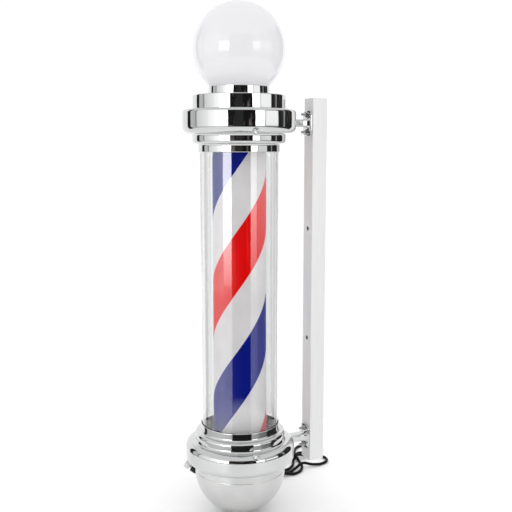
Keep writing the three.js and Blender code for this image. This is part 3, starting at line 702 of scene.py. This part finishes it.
def make_gland(materials):
    """A lock nut's flange and a tapered strain relief with cut rings."""
    wall = radius("dome_cover")
    place = POLE @ aim(polar(wall, GLAND_ANGLE, GLAND_Z), polar(1, GLAND_ANGLE))
    bore = CORD_R + 0.1
    points = [(bore, -8.9), (7.4, -8.9), (7.4, -3.6), (5.6, -3.4), (5.6, 0.6), (7.8, 0.6), (8.1, 0.9),
              (8.1, 3.2), (7.7, 3.6), (6.2, 4.2)]
    for k in range(6):
        z = 5.2 + 2.6 * k
        r = 5.9 - 0.25 * k
        points += [(r, z), (r - 0.1, z + 1.5), (r - 0.9, z + 1.7), (r - 0.95, z + 2.4)]
    points += [(4.3, 21), (3.9, 21.5), (bore, 21.5)]
    grip = hexagon(13.5, 0.5, 3.4, bore)
    shape = together(turned(points, SMALL), grip)
    piece("strain_relief", moved(shape, place), materials["black"],
          stands_for=["cable_gland"])


# ---------------------------------------------------------------- castings, cap and collar

SHOULDER_R = 12  # the quarter-round between a casting's second step and its widest wall
LEDGE = 29.5  # from the mouth to the flat that the quarter-round leaves
STEP_R = 77.5
CASTING_SKIN = 2.7
END_FILLETS = {"top": 5.5, "bottom": 12.0}
SHOULDER_NUT_ANGLES = (-8, 188)  # round the pole, in degrees from +X
CAP_OPENING_R = 30.0
COLLAR_BORE_R = 36.0
COLLAR_SEAT_R = 44.5  # round the globe's neck
GLOBE_NECK_R = 42.0
DRUM_WALL = 1.0


def ring_outline(end_fillet):
    """A ring casting's wall, from its mouth outwards and back inside, for the upper one."""
    low, high = size("top_ring")
    wall = radius("top_ring")
    mouth, end = low.z, high.z
    lip, bore, flange_bore = 68.0, 66.5, 60.0
    ledge, inside = mouth + LEDGE, wall - CASTING_SKIN
    socket = mouth + 20.5
    return outline(
        (bore, mouth, 0.3),
        (lip, mouth, 1.1),
        (lip, mouth + 13.3, 3.4),
        (STEP_R, mouth + 13.6, 5.2),
        (STEP_R, ledge, 4.0),
        *arc(wall - SHOULDER_R, ledge + SHOULDER_R, SHOULDER_R, -90, 0, 14),
        (wall, end, end_fillet),
        (flange_bore, end, 0.4),
        (flange_bore, end - CASTING_SKIN, 0.4),
        (inside, end - CASTING_SKIN, end_fillet - CASTING_SKIN),
        (inside, ledge + CASTING_SKIN, SHOULDER_R - CASTING_SKIN),
        (STEP_R - CASTING_SKIN, ledge + CASTING_SKIN, 0.5),
        (STEP_R - CASTING_SKIN, socket + CASTING_SKIN, 0.5),
        (flange_bore, socket + CASTING_SKIN, 0.5),
        (flange_bore, socket, 0.3),
        (bore, socket, 0.3),
        step=9,
    )


def cap_nut():
    """A domed nut with its washer, on the Z axis, seated at z 0.5."""
    washer = turned(outline((1.9, 0.5), (6.2, 0.5, 0.2), (6.2, 1.5, 0.4), (1.9, 1.5)), SMALL)
    grip = hexagon(9.8, 1.4, 4.3)
    dome = turned([(0, 4.2), (4.5, 4.2), (4.5, 4.6)] + arc(0, 4.2, 3.9, 8, 90, 8), SMALL)
    shank = turned([(0, -6), (1.9, -6), (1.9, 0.6), (0, 0.6)], SMALL)
    return together(washer, grip, dome, shank)


def make_castings(materials):
    mirror = Matrix.Scale(-1, 4, (0, 0, 1))
    reach = SHOULDER_R * math.sqrt(0.5)
    seat_r = radius("top_ring") - SHOULDER_R + reach
    seat_z = size("top_ring")[0].z + LEDGE + SHOULDER_R - reach
    for side, place, first in (("top", POLE, 1), ("bottom", POLE @ mirror, 3)):
        ring_shape = turned(ring_outline(END_FILLETS[side]))
        piece(side + "_casting", moved(ring_shape, place), materials["chrome"],
              stands_for=[side + "_ring"])
        for i, angle in enumerate(SHOULDER_NUT_ANGLES):
            seat = aim(polar(seat_r, angle, seat_z), polar(1, angle, -1))
            number = str(first + i)
            piece("domed_nut_" + number, moved(cap_nut(), place @ seat), materials["chrome"],
                  stands_for=["ring_cap_nut_" + number])


def make_cap_and_collar(materials):
    low, high = size("top_cap")
    wall = radius("top_cap")
    inner, under = wall - SHELL_WALL, high.z - SHELL_WALL
    cap = outline(
        (inner, low.z, 0.2),
        (wall, low.z, 0.5),
        (wall, high.z, 1.5),
        (CAP_OPENING_R, high.z, 0.3),
        (CAP_OPENING_R, under, 0.3),
        (inner, under, 0.6),
    )
    piece("cap", moved(turned(cap), POLE), materials["chrome"], stands_for=["top_cap"])
    low, high = size("globe_collar")
    wall = radius("globe_collar")
    above = low.z + SHELL_WALL
    collar = outline(
        (COLLAR_BORE_R, low.z, 0.2),
        (wall, low.z, 0.5),
        (wall, high.z, 0.4),
        (COLLAR_SEAT_R + 5, high.z, 0.2),
        (COLLAR_SEAT_R, high.z - 5, 0.4),
        (COLLAR_SEAT_R, above, 0.3),
        (COLLAR_BORE_R, above, 0.3),
    )
    piece("collar", moved(turned(collar), POLE), materials["chrome"], stands_for=["globe_collar"])


def make_globe(materials):
    """A ball on a short open neck: one outline from the top inside, round the neck, to the top outside."""
    low, high = size("globe")
    outer = radius("globe")
    inner = outer - SHELL_WALL
    centre = high.z - outer
    throat = GLOBE_NECK_R - SHELL_WALL

    def start(ball, neck):
        return -math.degrees(math.acos(neck / ball))

    inside = arc(0, centre, inner, 90, start(inner, throat), 48)
    outside = arc(0, centre, outer - 0.02, start(outer, GLOBE_NECK_R), 90, 56)
    points = [*inside, (throat, low.z), (GLOBE_NECK_R, low.z), *outside]
    piece("globe_shell", moved(turned(points), POLE), materials["opal"],
          stands_for=["globe"], sharp=50)


def make_tube_and_drum(materials):
    low, high = size("outer_tube")
    r = radius("outer_tube")
    inner = r - SHELL_WALL
    tube = outline((inner, low.z, 0.3), (r, low.z, 0.3), (r, high.z, 0.3), (inner, high.z, 0.3))
    piece("clear_tube", moved(turned(tube), POLE), materials["clear"],
          stands_for=["outer_tube"])
    low, high = size("drum_shell")
    r = radius("drum_shell")
    inner = r - DRUM_WALL
    shell = outline((inner, low.z), (r, low.z, 0.2), (r, high.z, 0.2), (inner, high.z))
    piece("striped_drum", moved(turned(shell), POLE), materials["stripes"], body="drum",
          stands_for=["drum_shell"])


def make_dome(materials):
    """The lower cover: a short skirt, a fine line round it, and half a ball."""
    low, high = size("dome_cover")
    r = radius("dome_cover")
    centre = low.z + r
    inner = r - SHELL_WALL
    points = [(0, low.z)]
    points += arc(0, centre, r, -90, 0, 44)[1:-1]
    points += [(r, centre - 0.4), (r - 0.35, centre), (r, centre + 0.4), (r, high.z - 0.4), (r - 0.4, high.z)]
    points += [(inner, high.z)]
    points += arc(0, centre, inner, 0, -90, 36)[:-1]
    points += [(0, low.z + SHELL_WALL)]
    piece("dome", moved(turned(points), POLE), materials["satin"], stands_for=["dome_cover"])


# ---------------------------------------------------------------- switch

BUTTON_ANGLE = 233  # round the pole, in degrees from +X
BUTTON_TILT = 30  # degrees that it points up from level
BUTTON_Z = -329


def button_frame():
    """The switch's own frame, with +Z out along the button's travel."""
    out = polar(math.cos(math.radians(BUTTON_TILT)), BUTTON_ANGLE, math.sin(math.radians(BUTTON_TILT)))
    return POLE @ aim(polar(radius("dome_cover") - 1.5, BUTTON_ANGLE, BUTTON_Z), out)


def make_switch(materials):
    bezel = outline(
        (3.5, -12.9),
        (5.9, -12.9, 0.3),
        (5.9, 1.0),
        (7.3, 1.0, 0.4),
        (7.3, 9.2, 0.3),
        (6.7, 9.5, 0.2),
        (6.7, 10.3, 0.2),
        (7.3, 10.6, 0.3),
        (7.3, 12.6, 0.7),
        (4.6, 12.6, 0.3),
        (3.5, 11.6),
    )
    grip = hexagon(12.6, 4.2, 8.4, 3.5)
    body = together(turned(bezel, 64), grip)
    piece("switch_body", moved(body, button_frame()), materials["black"],
          stands_for=["button_bezel"])
    ribs, under, top = 18, 15.9, 25.9
    profile = [(under, 0.0, 0.7), (under + 0.4, 0.5, 0.9), (under + 1.6, 0.6, 1), (top - 1.8, 0.45, 1),
               (top - 0.9, 0.2, 0.85), (top - 0.25, -0.5, 0.4), (top, -1.5, 0.1)]
    loops = []
    for z, grow, depth in profile:
        loop = []
        for k in range(ribs * 8):
            a = 2 * math.pi * k / (ribs * 8)
            flute = 0.5 * depth * abs(math.sin(ribs * a / 2)) ** 0.6
            r = 6.55 + grow + flute
            loop.append((r * math.cos(a), r * math.sin(a), z))
        loops.append(loop)
    stem = turned([(0, -5.6), (3.0, -5.6), (3.0, under + 0.5), (0, under + 0.5)], SMALL)
    cap = together(loft(loops), stem)
    piece("switch_button", moved(cap, button_frame()), materials["ribbed"], body="button",
          stands_for=["button_cap"], sharp=50)


# ---------------------------------------------------------------- wall rail and brackets

RAIL_WALL = 1.5
RAIL_HOLE_Z = 98
RAIL_ACCESS_R = 4  # in the front wall, for the screwdriver
RAIL_SCREW_R = 2.5  # in the back wall, for the wall screw
PLATE_THICKNESS = 3.0  # of a bracket
ARM_SIZE = (20.0, 12.7, 3.0)  # a bracket arm's width, height and corners
ARM_MIDDLE_Y = -45  # where an arm has its last section before it meets the casting
BOLT_OFFSET = 15.2  # up and down from a bracket's middle
BOLT_R = 2.4
BOLT_HOLE_R = 2.8
BOLT_TIP_Y = -42


def bracket_heights():
    low, high = size("upper_bracket")
    middle = (low.z + high.z) / 2
    return -middle, middle


def bolt_heights():
    return [z + side * BOLT_OFFSET for z in bracket_heights() for side in (-1, 1)]


def round_bar(r, y0, y1, z):
    """A plain bar along Y, for cutting holes."""
    along_y = Matrix.Rotation(-math.pi / 2, 4, "X")
    bar = turned([(0, y0), (r, y0), (r, y1), (0, y1)], 48)
    return moved(bar, Matrix.Translation((0, 0, z)) @ along_y)


def make_rail(materials):
    """A box section with small outer radii, its access and screw holes, and the bolts' holes."""
    low, high = size("wall_rail")
    width, depth = high.x - low.x, high.y - low.y
    shift = Matrix.Translation((0, -depth / 2, 0))
    outer = rounded_rectangle(width, depth, 1.2)
    inner = rounded_rectangle(width - 2 * RAIL_WALL, depth - 2 * RAIL_WALL, 0.6)
    loops = [
        [(x, y, low.z) for x, y in inner],
        [(x, y, low.z) for x, y in outer],
        [(x, y, high.z) for x, y in outer],
        [(x, y, high.z) for x, y in inner],
    ]
    rail = piece("rail", moved(loft(loops, closed=True), shift), materials["rail"],
                 stands_for=["wall_rail"], sharp=30)
    bars = [round_bar(RAIL_ACCESS_R, -depth - 5, -depth + 5, z) for z in (-RAIL_HOLE_Z, RAIL_HOLE_Z)]
    bars += [round_bar(RAIL_SCREW_R, -5, 5, z) for z in (-RAIL_HOLE_Z, RAIL_HOLE_Z)]
    bars += [round_bar(BOLT_HOLE_R, -depth - 5, -depth + 5, z) for z in bolt_heights()]
    cutter = piece("rail_holes", together(*bars), materials["rail"])
    subtract(rail, cutter)


def subtract(target, cutter):
    """Cuts one mesh object out of another, and removes the cutter."""
    modifier = target.modifiers.new("holes", "BOOLEAN")
    modifier.operation = "DIFFERENCE"
    modifier.solver = "EXACT"
    modifier.object = cutter
    depsgraph = bpy.context.evaluated_depsgraph_get()
    cut = bpy.data.meshes.new_from_object(target.evaluated_get(depsgraph))
    target.modifiers.clear()
    target.data = cut
    cut.name = target.name
    cut.polygons.foreach_set("use_smooth", [True] * len(cut.polygons))
    cut.set_sharp_from_angle(angle=math.radians(30))
    bpy.data.objects.remove(cutter)


def bracket_shape():
    """A round-cornered plate, and an arm that flares out of it and ends against the ring's wall."""
    low, high = size("upper_bracket")
    plate = slab(high.x - low.x, high.z - low.z, 8, 0, PLATE_THICKNESS, 0.8)
    plate = moved(plate, Matrix.Translation((0, high.y, 0)) @ Matrix.Rotation(math.pi / 2, 4, "X"))
    wall = radius("top_ring") + 0.3
    width, height, corner = ARM_SIZE
    front = high.y - PLATE_THICKNESS
    flares = ((3.4, front + 0.2), (2.5, front - 0.8), (1.4, front - 2.4), (0.5, front - 4.6), (0, front - 7))
    loops = []
    for flare, y in (*flares, (0, ARM_MIDDLE_Y)):
        ring = rounded_rectangle(width + 2 * flare, height + 2 * flare, corner + flare, 8)
        loops.append([(x, y, z) for x, z in ring])
    ring = rounded_rectangle(width, height, corner, 8)
    for inset in (0.5, 0):
        loops.append([
            (x, POLE_Y + math.sqrt(wall * wall - x * x) + inset, z) for x, z in ring
        ])
    arm = loft(loops)
    return together(plate, arm)


def bolt_shape():
    """A bolt from inside the rail: a cup head, a shank and a screwed end with a chamfer."""
    inside = size("wall_rail")[0].y + RAIL_WALL + 0.3
    head = turned([(0, inside), (4.4, inside), (4.4, inside + 0.6), (4.0, inside + 1.5), (3.0, inside + 2.3),
                   (0, inside + 2.6)], SMALL)
    thread = threaded(BOLT_R, BOLT_TIP_Y, inside + 0.2, 0.8)
    return together(head, thread)


def nut_shape():
    """A washer and a hexagon nut in front of the bracket's plate."""
    back = size("upper_bracket")[1].y - PLATE_THICKNESS - 0.3
    face = back - 0.9
    washer = outline((2.7, face, 0.1), (4.5, face, 0.2), (4.5, back, 0.1), (2.7, back, 0.1))
    return together(turned(washer, SMALL), hexagon(8.0, back - 4, face, 2.1))


def make_brackets(materials):
    shape = bracket_shape()
    for side, z in zip(("lower", "upper"), bracket_heights()):
        arm = moved(shape, Matrix.Translation((0, 0, z)))
        piece(side + "_arm", arm, materials["chrome"], stands_for=[side + "_bracket"])
    along_y = Matrix.Rotation(-math.pi / 2, 4, "X")
    for i, z in enumerate(bolt_heights(), 1):
        place = Matrix.Translation((0, 0, z)) @ along_y
        piece("bolt_" + str(i), moved(bolt_shape(), place), materials["bolt"],
              stands_for=["bracket_bolt_" + str(i)])
        piece("nut_" + str(i), moved(nut_shape(), place), materials["bolt"],
              stands_for=["bracket_nut_" + str(i)])


# ---------------------------------------------------------------- inner pieces that keep their CAD shape

INNER_FINISHES = {
    "white": ["globe_lampholder", "column_lampholder", "drum_top_ring", "drum_bottom_disc", "drum_guide_bush",
              "layshaft_gear", "terminal_block"],
    "opal": ["globe_bulb", "column_lamp"],
    "rubber": ["globe_gasket", "top_tube_gasket", "bottom_tube_gasket"],
    "steel": ["top_plate", "motor_plate", "motor_can", "gearbox_cover", "motor_screw_1", "motor_screw_2",
              "layshaft_pin", "output_shaft", "hub_grub_screw", "top_arm_screw", "bottom_arm_screw"],
    "brass": ["drive_hub", "output_gear", "rotor_pinion", "output_bush"],
    "copper": ["motor_coil"],
    "magnet": ["rotor_magnet"],
}


def dress_inner_pieces(materials):
    for finish, names in INNER_FINISHES.items():
        for name in names:
            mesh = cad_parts[name].data
            mesh.materials.clear()
            mesh.materials.append(materials[finish])


# ---------------------------------------------------------------- studio

# What the castings mirror, in degrees round the pole with the camera at 0: from, to, brightness at each.
STUDIO_BANDS = [
    (-180, -126, 1.05, 1.05),
    (-126, -113, 0.02, 0.02),
    (-113, -96, 0.72, 0.62),
    (-96, -94, 0.05, 0.05),
    (-94, -64, 0.90, 1.20),
    (-64, -48, 1.3, 1.5),
    (-48, -23, 1.2, 1.2),
    (-23, -8, 0.012, 0.012),
    (-8, 8, 0.03, 0.03),
    (8, 33, 0.01, 0.01),
    (33, 52, 0.8, 0.8),
    (52, 84, 0.5, 0.4),
    (84, 100, 0.01, 0.05),
    (100, 104, 0.5, 0.3),
    (104, 132, 0.02, 0.02),
    (132, 180, 1.05, 1.05),
]
SOFT_EDGE = 0.6  # degrees on each side over which one band turns into the next
BRIGHTEST = 8.0
SOFT_BOXES = [(-48, -23, BRIGHTEST), (33, 52, 3.2), (54, 84, 1.3)]  # the lamps: from, to, brightness
# How bright the soft boxes are by height, as the sine of the elevation: (sine, share).
BOX_HEIGHT = [(-0.175, 0), (-0.165, 0.25), (0.0, 1), (0.20, 1), (0.22, 0)]
# The gap between the lamps' feet and the table: (degrees, brightness).
LOW_WALLS = [
    (-180, 1.05), (-128, 1.05), (-124, 0.03), (-112, 0.03), (-108, 0.60), (-54, 0.75), (-23, 0.60),
    (-21, 0.015), (32, 0.015), (34, 0.50), (54, 0.40), (58, 0.25), (80, 0.20), (86, 0.03), (128, 0.03),
    (134, 1.05), (180, 1.05),
]
# How the same walls light matt surfaces: (degrees, brightness).
SOFT_LIGHT = [(-180, 0.98), (-80, 0.87), (-20, 1.2), (45, 0.92), (110, 0.84), (180, 0.98)]
TABLE = 1.0
CEILING = 0.84
BACKDROP = 1.05
# Where the table, the gap, the walls and the ceiling meet, as sines of the elevation.
TABLE_EDGE = (-0.39, -0.37)
GAP_EDGE = (-0.19, -0.17)
CEILING_EDGE = (0.42, 0.56)


def grey(bright):
    return (bright / BRIGHTEST,) * 3


def round_ramp(tree, share, stops):
    """The brightness of (degrees, brightness) stops, where the share goes once round from -180 to 180."""
    return colours(tree, share, *[((degrees + 180) / 360, grey(bright)) for degrees, bright in stops])


def studio_walls(tree, direction, share):
    """Bands of bright and dark wall, with faint clutter in the dark ones."""
    bands = []
    for start, end, first, last in STUDIO_BANDS:
        bands += [(start + SOFT_EDGE, first), (end - SOFT_EDGE, last)]
    clutter = node(tree, "ShaderNodeTexNoise")
    clutter.inputs["Scale"].default_value = 4.5
    clutter.inputs["Detail"].default_value = 4
    tree.links.new(direction, clutter.inputs["Vector"])
    shapes = colours(tree, clutter.outputs["Fac"], (0.52, grey(0.008)), (0.70, (0.036, 0.031, 0.028)))
    return mix_colours(tree, 1.0, round_ramp(tree, share, bands), shapes, "LIGHTEN")


def studio_lamps(tree, share, sine):
    boxes = [(-180, 0)]
    for start, end, bright in SOFT_BOXES:
        boxes += [(start - SOFT_EDGE, 0), (start + SOFT_EDGE, bright)]
        boxes += [(end - SOFT_EDGE, bright), (end + SOFT_EDGE, 0)]
    height = between(tree, sine, 0, 1, -1, 1)
    by_height = colours(tree, height, *[((z + 1) / 2, (s, s, s)) for z, s in BOX_HEIGHT])
    return mix_colours(tree, 1.0, round_ramp(tree, share, boxes), by_height, "MULTIPLY")


def make_world():
    """The studio: lamps and dark walls for mirrors, even light for matt pieces and a white backdrop."""
    world = bpy.data.worlds.new("studio")
    bpy.context.scene.world = world
    world.use_nodes = True
    tree = world.node_tree
    place = node(tree, "ShaderNodeTexCoord")
    turn = node(tree, "ShaderNodeVectorRotate", rotation_type="Z_AXIS")
    turn.inputs["Angle"].default_value = math.radians(-CAMERA_ROUND)
    split = node(tree, "ShaderNodeSeparateXYZ")
    tree.links.new(place.outputs["Generated"], turn.inputs["Vector"])
    tree.links.new(turn.outputs["Vector"], split.inputs["Vector"])
    angle = node(tree, "ShaderNodeMath", operation="ARCTAN2")
    tree.links.new(split.outputs["Y"], angle.inputs[0])
    tree.links.new(split.outputs["X"], angle.inputs[1])
    share = between(tree, angle.outputs["Value"], 0, 1, -math.pi, math.pi)
    sine = split.outputs["Z"]
    walls = studio_walls(tree, turn.outputs["Vector"], share)
    walls = mix_colours(tree, 1.0, walls, studio_lamps(tree, share, sine), "LIGHTEN")
    below = between(tree, sine, 1, 0, *TABLE_EDGE)
    gap = mix_colours(tree, below, round_ramp(tree, share, LOW_WALLS), grey(TABLE))
    sides = mix_colours(tree, between(tree, sine, 1, 0, *GAP_EDGE), walls, gap)
    mirrored = mix_colours(tree, between(tree, sine, 0, 1, *CEILING_EDGE), sides, grey(CEILING))
    path = node(tree, "ShaderNodeLightPath")
    lit = mix_colours(tree, path.outputs["Is Glossy Ray"], round_ramp(tree, share, SOFT_LIGHT), mirrored)
    beyond = mix_colours(tree, path.outputs["Glossy Depth"], grey(BACKDROP), mirrored)
    through = mix_colours(tree, path.outputs["Is Transmission Ray"], lit, beyond)
    seen = mix_colours(tree, path.outputs["Is Camera Ray"], through, grey(BACKDROP))
    background = tree.nodes["Background"]
    tree.links.new(seen, background.inputs["Color"])
    background.inputs["Strength"].default_value = BRIGHTEST


def mix_colours(tree, share, first, second, blend="MIX"):
    """The first colour at 0 and the second, blended in, at 1. Each is an output or three numbers."""
    mix = node(tree, "ShaderNodeMix", data_type="RGBA", blend_type=blend)
    for socket, value in (("Factor", share), ("A", first), ("B", second)):
        if isinstance(value, tuple):
            mix.inputs[socket].default_value = (*value, 1)
        elif isinstance(value, float):
            mix.inputs[socket].default_value = value
        else:
            tree.links.new(value, mix.inputs[socket])
    return mix.outputs["Result"]


def make_floor():
    """A round white table, just wide enough for the light and its cord."""
    reach, sides = 470, 96
    rim = [polar(reach, 360 * k / sides, FLOOR_Z) + Vector((0, POLE_Y, 0)) for k in range(sides)]
    mesh = bpy.data.meshes.new("floor")
    mesh.from_pydata([p * MM for p in rim], [], [tuple(range(sides))])
    floor = bpy.data.objects.new("floor", mesh)
    bpy.context.scene.collection.objects.link(floor)
    white = plain_material("floor", (0.90, 0.90, 0.90), (0.93, 0.93, 0.93), 3, (0.34, 0.40), 0.0)
    mesh.materials.append(white)
    return floor


def make_lights(floor):
    """A wide soft lamp overhead that only whitens the floor."""
    data = bpy.data.lights.new("overhead", "SUN")
    data.angle = math.radians(100)
    data.energy = 0.8
    lamp = bpy.data.objects.new("overhead", data)
    bpy.context.scene.collection.objects.link(lamp)
    lamp.visible_glossy = False
    lamp.visible_transmission = False
    lit = bpy.data.collections.new("floor_light")
    lit.objects.link(floor)
    lamp.light_linking.receiver_collection = lit


# ---------------------------------------------------------------- assembly

make_camera()
materials = make_materials()
flex, leaves = make_cord(materials)
plug, blades = make_plug(materials)
tie = make_tie(materials)
make_gland(materials)
make_castings(materials)
make_cap_and_collar(materials)
make_globe(materials)
make_tube_and_drum(materials)
make_dome(materials)
make_switch(materials)
make_rail(materials)
make_brackets(materials)
dress_inner_pieces(materials)
make_world()
make_lights(make_floor())
bpy.context.scene.view_settings.view_transform = "Standard"
